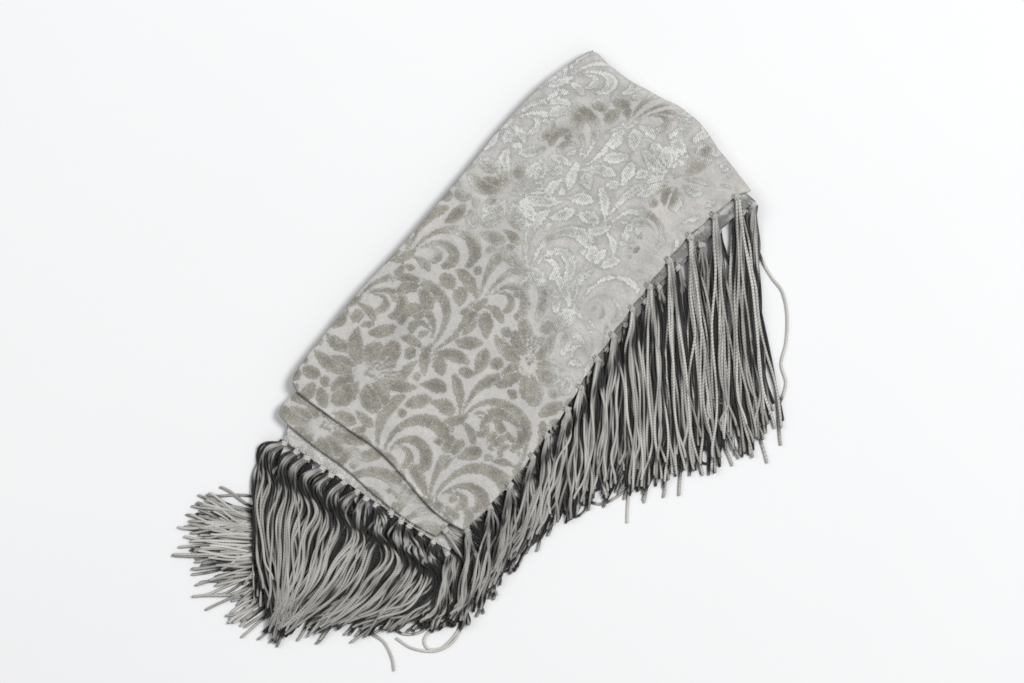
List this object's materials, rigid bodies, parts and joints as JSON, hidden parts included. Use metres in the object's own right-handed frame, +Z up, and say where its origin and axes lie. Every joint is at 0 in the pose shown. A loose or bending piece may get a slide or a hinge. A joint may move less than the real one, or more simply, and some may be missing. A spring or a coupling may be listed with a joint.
{
  "type": "fringed damask scarf",
  "caption": "Oblong damask scarf with knotted cord fringe, folded into a flat packet and laid down with its fringe spread.",
  "frame": {"origin": "middle of the folded packet's flat underside, on the surface that it rests on", "axes": "+Y along the packet toward its thick crosswise fold, +X across it toward the fringed selvedges, +Z up"},
  "size_m": [0.3328, 0.5586, 0.0159],
  "materials": {
    "damask": "napped ground with a satin figure",
    "hem": "matt napped cloth",
    "cord": "ribbed satin cord"
  },
  "bodies": {
    "root": {"top_panel": "damask", "second_fold": "damask", "fringed_end": "hem", "lower_folds": "damask", "fringe_side_upper": "cord", "fringe_side_lower": "cord", "fringe_end_upper": "cord", "fringe_end_lower": "cord"}
  },
  "joints": []
}
